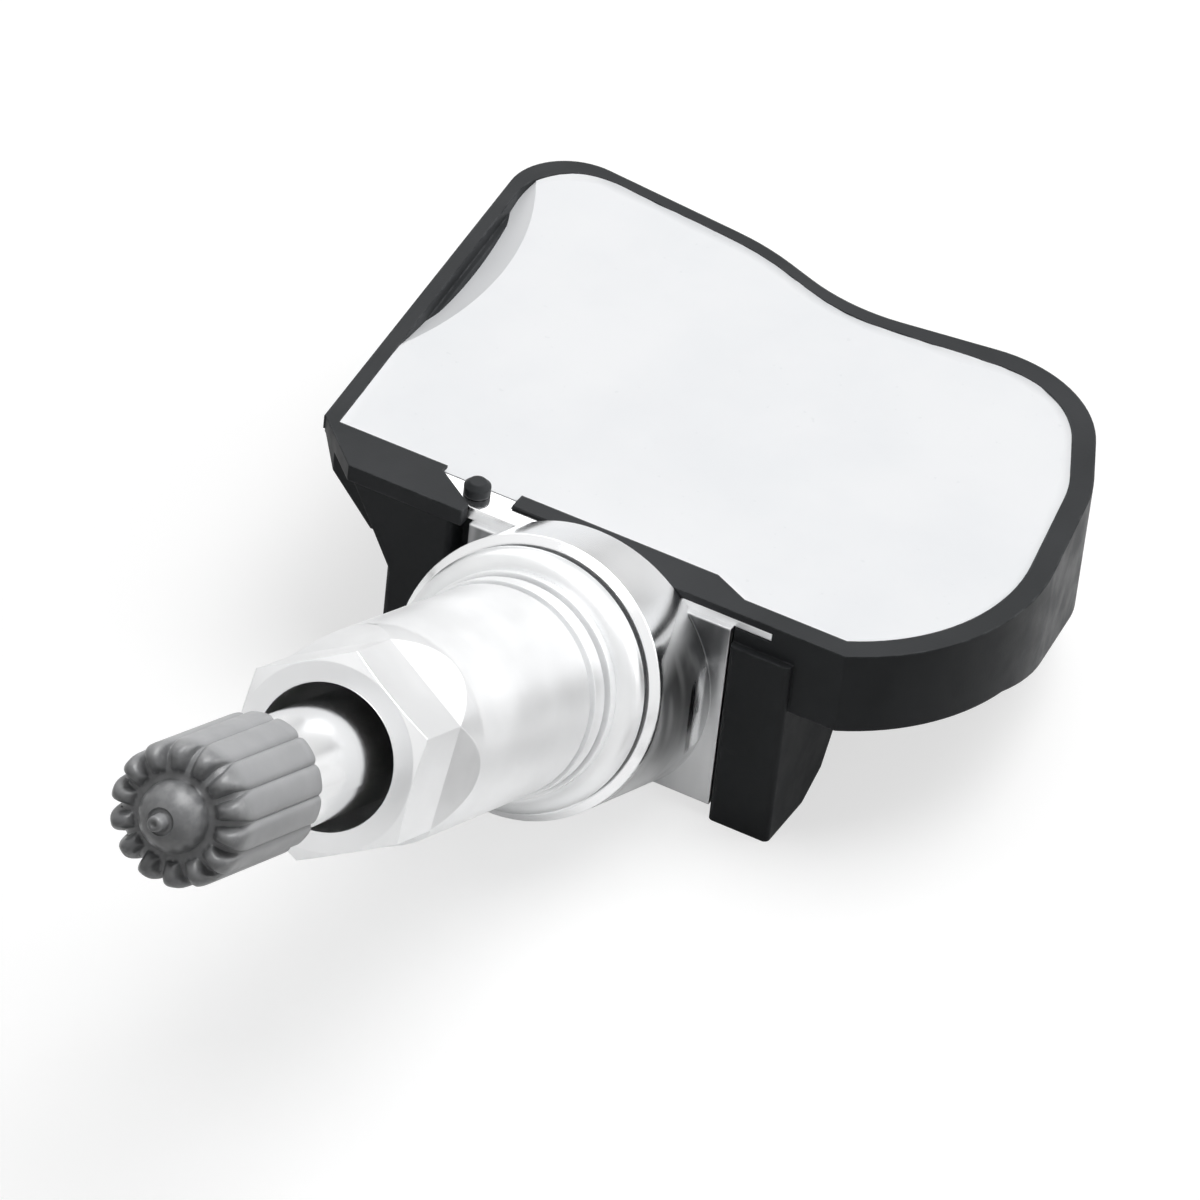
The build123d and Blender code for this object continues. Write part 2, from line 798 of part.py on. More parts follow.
spring_height = collar_top - pin_collar_length - spring_base - spring_wire - 2 * seat_gap
spring_radius = (core_bore_radius + pin_radius) / 2
with BuildPart() as core_spring:
    with BuildLine(stem_plane.offset(spring_base + spring_wire / 2 + seat_gap)) as coil:
        Helix(spring_height / spring_turns, spring_height, spring_radius, direction=stem_direction)
    with BuildSketch(Plane(origin=coil.line @ 0, z_dir=coil.line % 0)):
        Rectangle(spring_wire, spring_wire)
    sweep()
core_spring.part.label = "core_spring"
export_step(core_spring.part, "parts/core_spring.step")

# Circuit board, L-shaped around the cell
with BuildPart() as circuit_board:
    slab(board_bottom, (board_left_x, board_right_x), (board_front_depth, board_back_depth), board_thickness)
    slab(board_bottom, (board_right_x, board_arm_x), (board_arm_depth, board_arm_back_depth), board_thickness)
circuit_board.part.label = "circuit_board"
export_step(circuit_board.part, "parts/circuit_board.step")

with BuildPart() as battery_cell:
    post(cell_bottom, (cell_x, cell_depth), cell_radius, cell_height - cell_cap_height)
    post(cell_bottom, (cell_x, cell_depth), cell_cap_radius, cell_height)
battery_cell.part.label = "battery_cell"
export_step(battery_cell.part, "parts/battery_cell.step")

# Welded tabs from the cell to the board
tab_plane = Plane(
    origin=(0, seat_reach + cell_depth, seat_drop),
    x_dir=(1, 0, 0),
    z_dir=(0, -1, 0),
)
tab_middle = tab_thickness / 2
cell_edge = cell_x - cell_radius
with BuildPart() as battery_tab_top:
    with BuildSketch(tab_plane):
        with BuildLine():
            Polyline(
                (cell_edge + tab_overlap, cell_top + tab_middle),
                (board_right_x - tab_top_clear, cell_top + tab_middle),
                (board_right_x - tab_top_clear, board_top + tab_middle),
                (board_right_x - tab_top_clear - tab_landing, board_top + tab_middle),
            )
        trace(line_width=tab_thickness)
    extrude(amount=tab_width / 2, both=True)
battery_tab_top.part.label = "battery_tab_top"
export_step(battery_tab_top.part, "parts/battery_tab_top.step")

with BuildPart() as battery_tab_bottom:
    with BuildSketch(tab_plane):
        with BuildLine():
            Polyline(
                (cell_edge + tab_overlap, cell_bottom - tab_middle),
                (board_right_x - tab_bottom_clear, cell_bottom - tab_middle),
                (board_right_x - tab_bottom_clear, board_bottom - tab_middle),
                (board_right_x - tab_bottom_clear - tab_landing, board_bottom - tab_middle),
            )
        trace(line_width=tab_thickness)
    extrude(amount=tab_width / 2, both=True)
battery_tab_bottom.part.label = "battery_tab_bottom"
export_step(battery_tab_bottom.part, "parts/battery_tab_bottom.step")

# Pressure sensor chip under the board, with its gasket round the port in the floor
with BuildPart() as sensor_chip:
    slab(floor_top + gasket_height, (chip_x - chip_width / 2, chip_x + chip_width / 2),
         (chip_depth - chip_length / 2, chip_depth + chip_length / 2), board_lift - gasket_height)
sensor_chip.part.label = "sensor_chip"
export_step(sensor_chip.part, "parts/sensor_chip.step")

with BuildPart() as port_gasket:
    post(floor_top, (chip_x, chip_depth), gasket_radius, gasket_height)
    post(floor_top, (chip_x, chip_depth), gasket_bore, gasket_height, mode=Mode.SUBTRACT)
port_gasket.part.label = "port_gasket"
export_step(port_gasket.part, "parts/port_gasket.step")

# Low-frequency receiver coil: a flanged core and its winding
winding_length = coil_length - 2 * coil_flange
coil_middle = board_top + coil_width / 2
coil_plane = Plane(origin=(coil_x, seat_reach + coil_depth, seat_drop + coil_middle), z_dir=(1, 0, 0))
with BuildPart() as lf_core:
    with BuildSketch(coil_plane):
        Rectangle(coil_width, coil_width)
    extrude(amount=coil_length / 2, both=True)
    with BuildSketch(coil_plane):
        Rectangle(2 * coil_width, 2 * coil_width)
        Rectangle(coil_core_width, coil_core_width, mode=Mode.SUBTRACT)
    extrude(amount=winding_length / 2, both=True, mode=Mode.SUBTRACT)
lf_core.part.label = "lf_core"
export_step(lf_core.part, "parts/lf_core.step")

with BuildPart() as lf_winding:
    with BuildSketch(coil_plane):
        RectangleRounded(coil_winding_width, coil_winding_width, (coil_winding_width - coil_core_width) / 2)
        Rectangle(coil_core_width, coil_core_width, mode=Mode.SUBTRACT)
    extrude(amount=winding_length / 2, both=True)
lf_winding.part.label = "lf_winding"
export_step(lf_winding.part, "parts/lf_winding.step")

with BuildPart() as crystal:
    slab(board_top, (crystal_x - crystal_width / 2, crystal_x + crystal_width / 2),
         (crystal_depth - crystal_length / 2, crystal_depth + crystal_length / 2), crystal_height)
crystal.part.label = "crystal"
export_step(crystal.part, "parts/crystal.step")

capacitors = []
for side, side_name in ((-1, "left"), (1, "right")):
    capacitor_middle = capacitor_x + side * capacitor_pitch / 2
    with BuildPart() as capacitor:
        slab(board_top, (capacitor_middle - capacitor_width / 2, capacitor_middle + capacitor_width / 2),
             (capacitor_depth - capacitor_length / 2, capacitor_depth + capacitor_length / 2), capacitor_height)
    capacitor.part.label = "capacitor_" + side_name
    export_step(capacitor.part, "parts/capacitor_" + side_name + ".step")
    capacitors.append(capacitor.part)

# Wire loop aerial on the board's arm
antenna_plane = Plane(
    origin=(antenna_x, seat_reach + antenna_depth, seat_drop + board_top),
    x_dir=(1, 0, 0),
    z_dir=(0, -1, 0),
)
with BuildPart() as antenna_loop:
    with BuildLine(antenna_plane) as loop:
        FilletPolyline(
            (-antenna_span / 2, 0),
            (-antenna_span / 2, antenna_rise),
            (antenna_span / 2, antenna_rise),
            (antenna_span / 2, 0),
            radius=antenna_bend,
        )
    with BuildSketch(Plane(origin=loop.line @ 0, z_dir=loop.line % 0)):
        Circle(antenna_wire / 2)
    sweep()
antenna_loop.part.label = "antenna_loop"
export_step(antenna_loop.part, "parts/antenna_loop.step")

# Potting: fills the tray round everything on the board, with a scoop along the left wall
lean = atan2(left_back_reach - left_reach, left_back_depth)
scoop_chord = sqrt(scoop_width**2 + scoop_bite**2)
scoop_rise = sqrt(scoop_radius**2 - scoop_chord**2 / 4)
scoop_offset = scoop_width / 2 - scoop_bite / scoop_chord * scoop_rise
scoop_wall_x = -left_reach + side_wall - scoop_depth * tan(lean)
scoop_centre = (
    scoop_wall_x + scoop_offset * cos(lean),
    seat_reach + scoop_depth + scoop_offset * sin(lean),
    seat_drop - potting_drop - scoop_bite / 2 + scoop_width / scoop_chord * scoop_rise,
)
with BuildPart() as potting:
    add(cavity.part)
    slab(-potting_drop, (-2 * left_reach, 2 * left_reach), (-left_back_depth, 2 * left_back_depth),
         tray_depth, mode=Mode.SUBTRACT)
    slab(-potting_drop - dam_drop, (notch_left_x, notch_right_x), (-dam_wall, 0), dam_drop)
    with Locations(scoop_centre):
        Sphere(scoop_radius, mode=Mode.SUBTRACT)
    for embedded in (tray_posts, circuit_board, battery_cell, battery_tab_top, battery_tab_bottom, sensor_chip,
                     lf_core, lf_winding, crystal, antenna_loop):
        add(embedded.part, mode=Mode.SUBTRACT)
    for embedded in capacitors:
        add(embedded, mode=Mode.SUBTRACT)
    post(floor_top, (chip_x, chip_depth), gasket_radius, gasket_height, mode=Mode.SUBTRACT)
potting.part.label = "potting"
export_step(potting.part, "parts/potting.step")
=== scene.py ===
"""Looks of the tyre pressure sensor: materials, fine detail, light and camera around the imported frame."""
import json
import math
from collections import namedtuple

import bmesh
import bpy
from mathutils import Matrix, Vector, noise


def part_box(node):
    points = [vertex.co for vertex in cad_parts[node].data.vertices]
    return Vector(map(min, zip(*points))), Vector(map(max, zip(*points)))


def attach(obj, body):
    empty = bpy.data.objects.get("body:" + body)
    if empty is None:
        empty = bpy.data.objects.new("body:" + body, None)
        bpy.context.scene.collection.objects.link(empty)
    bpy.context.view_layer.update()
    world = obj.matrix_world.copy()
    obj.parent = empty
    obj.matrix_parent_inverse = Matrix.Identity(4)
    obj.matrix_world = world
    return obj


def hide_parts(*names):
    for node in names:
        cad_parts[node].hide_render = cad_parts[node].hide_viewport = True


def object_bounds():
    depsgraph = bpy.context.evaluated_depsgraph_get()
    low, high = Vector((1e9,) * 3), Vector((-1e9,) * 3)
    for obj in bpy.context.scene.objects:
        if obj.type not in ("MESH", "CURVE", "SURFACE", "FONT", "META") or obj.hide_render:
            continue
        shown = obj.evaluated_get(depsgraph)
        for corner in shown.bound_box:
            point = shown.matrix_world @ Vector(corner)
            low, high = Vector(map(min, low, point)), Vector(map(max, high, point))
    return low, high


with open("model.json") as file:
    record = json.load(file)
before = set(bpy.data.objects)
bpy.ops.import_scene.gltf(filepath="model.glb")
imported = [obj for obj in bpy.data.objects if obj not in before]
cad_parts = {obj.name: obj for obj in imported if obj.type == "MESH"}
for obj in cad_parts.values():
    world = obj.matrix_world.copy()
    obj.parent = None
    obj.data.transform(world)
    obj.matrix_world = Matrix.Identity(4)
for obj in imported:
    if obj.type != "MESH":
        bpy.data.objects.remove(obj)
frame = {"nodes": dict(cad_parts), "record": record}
cad_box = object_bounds()
nodes = frame["nodes"]

# Lengths are metres in the part's frame, unless a comment says otherwise: the valve seat is the origin
MM = 0.001
STEM_TILT = math.radians(24.0)
STEM_OUT = Vector((0, -math.cos(STEM_TILT), math.sin(STEM_TILT)))
STEM_SIDE = Vector((1, 0, 0))
STEM_UP = STEM_OUT.cross(STEM_SIDE)

# The photograph's camera, solved from the nut, the cap and the housing's outline
CAMERA_PLACE = Vector((187.3, -405.7, 358.6)) * MM
CAMERA_RIGHT = Vector((0.8767, 0.4725, 0.0904))
CAMERA_AWAY = Vector((-0.3225, 0.7167, -0.6183))
CAMERA_CLIP = 10 * MM
IMAGE_PIXELS = 1200
FOCAL_PIXELS = 9000
SENSOR_MM = 36.0

# The surround's strength: as a light, and in mirrors at the horizon and from a height upwards
WHITE = (1, 1, 1, 1)
SKY_LIGHT = 0.12
SKY_HORIZON = 0.84
SKY_FULL_HEIGHT = 0.7

# The floor, a hair below the feet so that the two don't share a plane: its colour and glow to each kind of ray
FLOOR_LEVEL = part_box("housing")[0].z - 0.02 * MM
FLOOR_HALF = 3.0
FLOOR_TO_LAMPS = (0.3, 0.3, 0.3)
FLOOR_TO_MIRRORS = (0.86, 0.86, 0.86)
FLOOR_TO_CAMERA = (0.42, 0.42, 0.42)
GLOW_TO_MIRRORS = 0.12
GLOW_TO_CAMERA = 0.66

# A dark card for the nut's hexagon to mirror, glowing dimly as a painted reflection: its middle, and the radius and
# glow level of its dark part and of its edge
CARD_PLACE = (42 * MM, -2 * MM)
CARD_RADII = (7 * MM, 18 * MM)
CARD_LEVELS = (0.3, 0.95)
CARD_LIFT = 0.1 * MM
CARD_STEPS = 48

# Each lamp's name, place, size and power in watts
LAMPS = (
    ("key_lamp", (0.12, 0.16, 0.62), 0.5, 3.45),
    ("side_lamp", (0.48, 0.36, 0.26), 0.4, 0.9),
    ("rear_lamp", (-0.35, 0.4, 0.4), 0.4, 0.5),
)

# Noise values between which a cloudy pattern goes from one look to the other, and how far an edge's rounded normal
# bends from its face, as a cosine, where wear begins and where it is full
CLOUD = (0.3, 0.7)
WEAR_BEND = (0.97, 0.75)

# Bright plating, from its duller to its cleaner patches
PLATING = ((0.9, 0.905, 0.91), (0.95, 0.955, 0.96))

# The valve body's plating carries painted reflections and painted shade on its block and on the boss's flanks, and is
# rougher there. Each pair is where this fades in from and to: the block's by depth and height, the flanks' along the
# stem and by height
BLOCK_FRONT_FADE = (8.4 * MM, 8.7 * MM)
BLOCK_TOP_FADE = (2.85 * MM, 2.65 * MM)
FLANK_FRONT_FADE = (-0.7 * MM, -1.3 * MM)
FLANK_REFLECTION_FADE = (3.3 * MM, 1.3 * MM)
FLANK_MATT_FADE = (3.7 * MM, 3.3 * MM)

# The painted reflection is pale below and dark above, where painted shade falls under the strip, with paler upright
# streaks of painted reflection; the patch is rougher than the plating
PAINTED_REFLECTION_HEIGHT = (-8.15 * MM, 0.85 * MM)
PAINTED_REFLECTION_PALE = (0.75, 0.755, 0.76)
PAINTED_REFLECTION_DARK = (0.2, 0.203, 0.208)
MATT_PATCH_ROUGHNESS = 0.24
REFLECTION_STREAK_TONE = (0.62, 0.625, 0.63)
REFLECTION_STREAK_STRETCH = (1.0, 1.0, 0.14)

# The upright painted highlight between boss and block and the painted dark reflected line beside it: the level
# direction across them, the heights that they fade in at, and the place, half width and colour of each
REFLECTED_LINE_ACROSS = (0.918, 0.396, 0.0)
REFLECTED_LINE_FOOT_FADE = (-7.5 * MM, -6.3 * MM)
REFLECTED_LINE_HEAD_FADE = (0.1 * MM, -1.1 * MM)
REFLECTED_LINE_PLACE = 11.33 * MM
REFLECTED_LINES = (
    (REFLECTED_LINE_PLACE, 0.32 * MM, (0.95, 0.955, 0.96)),
    (REFLECTED_LINE_PLACE - 0.42 * MM, 0.2 * MM, (0.03, 0.03, 0.032)),
)
REFLECTED_LINE_CORE = 0.3

# Where the nut's milled hexagon begins along the stem, and how much smoother than the sleeve it is
HEXAGON_FADE = (21.3 * MM, 21.8 * MM)
HEXAGON_SMOOTHER = 0.1

# Threads on the stem: core and crest radius, pitch, and where they run from and to along the stem
Thread = namedtuple("Thread", "name core crest pitch start end")
THREADS = (
    Thread("tip_thread", 3.45 * MM, 3.76 * MM, 25.4 / 32 * MM, 39.2 * MM, 48.2 * MM),
    Thread("root_thread", 4.6 * MM, 4.96 * MM, 1.0 * MM, 4.2 * MM, 13.2 * MM),
)
# Points in a turn, turns in which a ridge runs out, its depth in the stem, and half its foot and crest as pitches
THREAD_STEPS = 48
THREAD_RUN_OUT = 0.75
THREAD_SUNK = 0.05 * MM
THREAD_FOOT = 0.44
THREAD_CREST = 0.09

# Valve cap, in millimetres: (radius, distance along the stem) of its crests, its valleys and its plain parts
CAP_LOBES = 14
CAP_BORE = ((0.02, 49.4), (3.85, 49.4), (3.85, 39.75), (3.98, 39.5))
CAP_RIM = (4.35, 4.13)
CAP_BARREL = (39.65, 48.2)
CAP_CREST = 4.45
CAP_VALLEY = 4.2
CAP_SHOULDER = (3.6, 49.6)
CAP_TOP = 51.1
CAP_DISH = (2.75, 50.45)
CAP_SLOT = ((4.2, 48.2), (4.2, 49.6), (3.6, 50.2), (2.75, 50.45))
CAP_GROOVE = ((2.5, 50.42), (2.3, 50.47))
CAP_DOME = (2.2, 2.25)
CAP_TIP = (
    (0.86, 52.5), (0.8, 52.4), (0.68, 52.36), (0.57, 52.4), (0.52, 52.6), (0.5, 53.1), (0.46, 53.32), (0.36, 53.43),
    (0.25, 53.45), (0.16, 53.4), (0.1, 53.3), (0.02, 53.28),
)
# Steps along the cap's barrel, up to its shoulder, over the shoulder and down into the dish, and the dome's angles
BARREL_STEPS, RISE_STEPS, SHOULDER_STEPS, DISH_STEPS = 8, 5, 10, 9
DOME_DEGREES = range(2, 63, 5)
# Places from the middle of a lobe (0) to the valley beside it (1), close together where a petal's flank is steep
LOBE_PLACES = (0.0, 0.16, 0.31, 0.43, 0.53, 0.6, 0.66, 0.7, 0.73, 0.78, 0.84, 0.9, 0.95)
# The share of the front in which slots part the lobes, a petal's share of its lobe, and the powers that round a
# flute's or a petal's flank and top
PARTING_SHARE = 0.6
PETAL_SHARE = 0.74
FLUTE_POWERS = (5.0, 1.0)
PETAL_POWERS = (2.4, 0.55)
CAP_SMOOTH_ANGLE = 75
# Radii between which the painted shade in the cap's valleys gives way to its crests' tone, and where painted shade on
# its front end begins along the stem, in metres
CAP_VALLEY_SHADE = (4.12 * MM, 4.3 * MM)
CAP_FRONT_SHADE = (48.6 * MM, 50.4 * MM)

# Resin that climbs the wall round the potting, and the housing's notch, where there is no wall to climb
MENISCUS_WIDTH = 0.7 * MM
MENISCUS_RISE = 0.16 * MM
MENISCUS_CURVE = 2.2
MENISCUS_STEPS = 6
MENISCUS_SPACING = 0.35 * MM
MENISCUS_INSET = 0.01 * MM
MENISCUS_DIP = 0.008 * MM
MENISCUS_SUNK = 0.05 * MM
MENISCUS_WANDER = ((260, 0.5), (900, 0.25))
WIDTH_WANDER = 0.8
WALL_FADE_POINTS = 6
NOTCH_X = (-12.6 * MM, -6.9 * MM)
NOTCH_BACK = 12.02 * MM


def add_object(name, data):
    """A new object in the scene."""
    new = bpy.data.objects.new(name, data)
    bpy.context.scene.collection.objects.link(new)
    return new


def mix(a, b, share):
    """A number between two."""
    return a + (b - a) * share


def look_through_camera():
    """Sets up the camera that took the photograph."""
    data = bpy.data.cameras.new("camera")
    data.sensor_fit = "HORIZONTAL"
    data.sensor_width = SENSOR_MM
    data.lens = FOCAL_PIXELS / IMAGE_PIXELS * SENSOR_MM
    data.clip_start = CAMERA_CLIP
    away = CAMERA_AWAY.normalized()
    right = (CAMERA_RIGHT - CAMERA_RIGHT.dot(away) * away).normalized()
    up = right.cross(away)
    place = Matrix((right, up, -away)).transposed().to_4x4()
    place.translation = CAMERA_PLACE
    camera = add_object("camera", data)
    camera.matrix_world = place
    bpy.context.scene.camera = camera


class NodeTree:
    """A shader's node tree, with short ways to add to it."""

    def __init__(self, tree):
        self.tree = tree

    def node(self, kind, **settings):
        """A new node with its settings."""
        new = self.tree.nodes.new(kind)
        for key, value in settings.items():
            setattr(new, key, value)
        return new

    def feed(self, socket, value):
        """Links a socket to another, or sets its value."""
        if isinstance(value, bpy.types.NodeSocket):
            self.tree.links.new(value, socket)
        else:
            socket.default_value = value

    def math(self, operation, a, b=0.0):
        """An operation on two values or sockets."""
        math_node = self.node("ShaderNodeMath", operation=operation)
        self.feed(math_node.inputs[0], a)
        self.feed(math_node.inputs[1], b)
        return math_node.outputs[0]

    def times(self, a, b):
        """The product of two values or sockets."""
        return self.math("MULTIPLY", a, b)

    def vector(self, operation, a, b=None):
        """An operation on vectors: a vector, or the number for a dot product, a length or a distance."""
        vector_node = self.node("ShaderNodeVectorMath", operation=operation)
        self.feed(vector_node.inputs[0], a)
        if b is not None:
            self.feed(vector_node.inputs[1], b)
        return vector_node.outputs["Value" if operation in ("DOT_PRODUCT", "LENGTH", "DISTANCE") else "Vector"]

    def spread(self, value, low, high, start=0.0, end=1.0, curve="SMOOTHSTEP"):
        """A value mapped from one range to another, held at both ends."""
        spread_node = self.node("ShaderNodeMapRange", interpolation_type=curve)
        for index, part in enumerate((value, low, high, start, end)):
            self.feed(spread_node.inputs[index], part)
        return spread_node.outputs[0]

    def blend(self, amount, a, b):
        """A colour between two, each given as RGB or as a socket."""
        blend_node = self.node("ShaderNodeMix", data_type="RGBA")
        self.feed(blend_node.inputs["Factor"], amount)
        self.feed(blend_node.inputs[6], (*a, 1) if isinstance(a, tuple) else a)
        self.feed(blend_node.inputs[7], (*b, 1) if isinstance(b, tuple) else b)
        return blend_node.outputs[2]

    def rays(self, *names):
        """1 for rays of any of these kinds, and 0 for the rest."""
        kinds = self.node("ShaderNodeLightPath").outputs
        total = kinds[names[0]]
        for name in names[1:]:
            total = self.math("MAXIMUM", total, kinds[name])
        return total


class Finish(NodeTree):
    """A material: one Principled shader and what feeds it."""

    def __init__(self, name, roughness, metallic=0.0, specular=0.5):
        self.slot = name
        self.material = bpy.data.materials.new(name)
        self.material.use_nodes = True
        super().__init__(self.material.node_tree)
        self.shader = self.tree.nodes["Principled BSDF"]
        self.shader.inputs["Metallic"].default_value = metallic
        self.shader.inputs["Specular IOR Level"].default_value = specular
        self.shader.inputs["Roughness"].default_value = roughness
        self.place = self.node("ShaderNodeTexCoord").outputs["Object"]

    def along_stem(self):
        """Distance from the valve seat along the stem."""
        return self.vector("DOT_PRODUCT", self.place, STEM_OUT[:])

    def stem_radius(self):
        """Distance from the stem's axis."""
        foot = self.node("ShaderNodeVectorMath", operation="SCALE")
        foot.inputs[0].default_value = STEM_OUT[:]
        self.feed(foot.inputs["Scale"], self.along_stem())
        return self.vector("LENGTH", self.vector("SUBTRACT", self.place, foot.outputs[0]))

    def grain(self, size, detail=3.0, place=None):
        """Noise whose lumps are about that size across."""
        grain_node = self.node("ShaderNodeTexNoise")
        self.feed(grain_node.inputs["Vector"], place or self.place)
        grain_node.inputs["Scale"].default_value = 1 / size
        grain_node.inputs["Detail"].default_value = detail
        return grain_node.outputs["Fac"]

    def clouds(self, size, start=0.0, end=1.0, detail=3.0):
        """Soft patches about that size across, from one value to another."""
        return self.spread(self.grain(size, detail), *CLOUD, start, end)

    def rings(self, size, detail=2.0):
        """Turning marks: noise along the stem, the same all round it."""
        rings_node = self.node("ShaderNodeTexNoise", noise_dimensions="1D")
        self.feed(rings_node.inputs["W"], self.along_stem())
        rings_node.inputs["Scale"].default_value = 1 / size
        rings_node.inputs["Detail"].default_value = detail
        return rings_node.outputs["Fac"]

    def rounded(self, radius):
        """A normal that rounds sharp edges off."""
        soft = self.node("ShaderNodeBevel", samples=6)
        soft.inputs["Radius"].default_value = radius
        return soft.outputs["Normal"]

    def edges(self, radius):
        """1 on worn edges and 0 on faces."""
        facing = self.node("ShaderNodeNewGeometry").outputs["Normal"]
        return self.spread(self.vector("DOT_PRODUCT", self.rounded(radius), facing), *WEAR_BEND)

    def fed(self, name):
        """What feeds one of the shader's sockets."""
        return self.shader.inputs[name].links[0].from_socket

    def paint(self, colour=None, roughness=None):
        """Feeds the shader's colour and roughness."""
        if colour is not None:
            self.feed(self.shader.inputs["Base Color"], colour)
        if roughness is not None:
            self.feed(self.shader.inputs["Roughness"], roughness)

    def relief(self, layers, edge_radius=None):
        """Bumps laid over each other, each a height, its depth in metres and a strength."""
        normal = self.rounded(edge_radius) if edge_radius else None
        for height, depth, strength in layers:
            bump = self.node("ShaderNodeBump")
            bump.inputs["Distance"].default_value = depth
            bump.inputs["Strength"].default_value = strength
            self.feed(bump.inputs["Height"], height)
            if normal is not None:
                self.feed(bump.inputs["Normal"], normal)
            normal = bump.outputs["Normal"]
        self.feed(self.shader.inputs["Normal"], normal)


def turned_metal(name, dark, light, roughness, ring_size, edge_radius, mark_depth=0.004 * MM):
    """Turned or plated metal: rings along the stem, a cloudy polish and bright edges."""
    finish = Finish(name, roughness, metallic=1.0)
    marks = finish.rings(ring_size)
    cloud = finish.grain(6 * MM)
    uneven = finish.math("ADD", finish.times(marks, 0.5), finish.times(cloud, 0.5))
    finish.paint(
        finish.blend(finish.spread(cloud, *CLOUD), dark, light),
        finish.spread(uneven, *CLOUD, roughness - 0.05, roughness + 0.06),
    )
    finish.relief([(marks, mark_depth, 0.5), (finish.grain(0.35 * MM), 0.004 * MM, 0.15)], edge_radius)
    return finish


def rough_metal(name, dark, light, roughness, grain_size, edge_radius=0.05 * MM):
    """Rolled, plated or drawn metal with a fine even grain."""
    finish = Finish(name, roughness, metallic=1.0)
    finish.paint(
        finish.blend(finish.clouds(2 * MM), dark, light),
        finish.clouds(grain_size, roughness - 0.08, roughness + 0.1, 4),
    )
    finish.relief([(finish.grain(grain_size), 0.006 * MM, 0.3)], edge_radius)
    return finish


def dull_solid(name, dark, light, roughness, grain_size, depth):
    """Rubber, ceramic and other dull solids with a mottled face."""
    finish = Finish(name, roughness, specular=0.3)
    finish.paint(
        finish.blend(finish.clouds(4 * grain_size), dark, light),
        finish.clouds(grain_size, roughness - 0.1, roughness + 0.1, 4),
    )
    finish.relief([(finish.grain(grain_size), depth, 0.4)], 0.06 * MM)
    return finish


def housing_plastic():
    """Black moulded plastic: fine grain, cloudy sheen and paler edges."""
    finish = Finish("housing_plastic", 0.42, specular=0.11)
    edge_radius = 0.16 * MM
    body = finish.blend(finish.clouds(9 * MM), (0.03, 0.032, 0.034), (0.042, 0.044, 0.047))
    worn = finish.times(finish.edges(2 * edge_radius), finish.spread(finish.grain(1.1 * MM), 0.35, 0.7))
    finish.paint(
        finish.blend(worn, body, (0.1, 0.103, 0.108)),
        finish.spread(finish.grain(2.3 * MM, 4), 0.25, 0.75, 0.35, 0.5),
    )
    finish.relief(
        [(finish.grain(0.16 * MM, 2), 0.02 * MM, 0.35), (finish.grain(5 * MM), 0.12 * MM, 0.12)],
        edge_radius,
    )
    return finish


def potting_resin():
    """White cast resin: glossy, slightly wavy, with a few dull patches and specks."""
    finish = Finish("potting_resin", 0.33, specular=0.45)
    body = finish.blend(finish.clouds(11 * MM, detail=4), (0.86, 0.875, 0.895), (0.9, 0.91, 0.925))
    speck = finish.spread(finish.grain(0.5 * MM, 1), 0.74, 0.8, 0.0, 0.35)
    finish.paint(
        finish.blend(speck, body, (0.76, 0.78, 0.8)),
        finish.spread(finish.grain(4 * MM, 4), 0.35, 0.75, 0.29, 0.38),
    )
    finish.relief([(finish.grain(7 * MM, 1), 0.25 * MM, 0.12), (finish.grain(0.8 * MM), 0.012 * MM, 0.12)])
    return finish


def cap_plastic():
    """Grey moulded cap: paler on its crests, with painted shade darkening its valleys and its front end."""
    finish = Finish("cap_plastic", 0.3, specular=0.7)
    # The valley tone is painted shade where the flutes meet
    valley = (0.3, 0.304, 0.31)
    crest = finish.blend(finish.clouds(4 * MM), (0.36, 0.365, 0.375), (0.41, 0.415, 0.425))
    barrel = finish.blend(finish.spread(finish.stem_radius(), *CAP_VALLEY_SHADE), valley, crest)
    # Mottled painted shade on the cap's front end
    front_shade = finish.blend(finish.spread(finish.grain(0.8 * MM), 0.35, 0.65), (0.23, 0.233, 0.24), valley)
    finish.paint(
        finish.blend(finish.spread(finish.along_stem(), *CAP_FRONT_SHADE), barrel, front_shade),
        finish.clouds(1.2 * MM, 0.29, 0.38),
    )
    finish.relief([(finish.grain(0.22 * MM, 2), 0.008 * MM, 0.25), (finish.grain(2.5 * MM, 1), 0.06 * MM, 0.1)])
    return finish


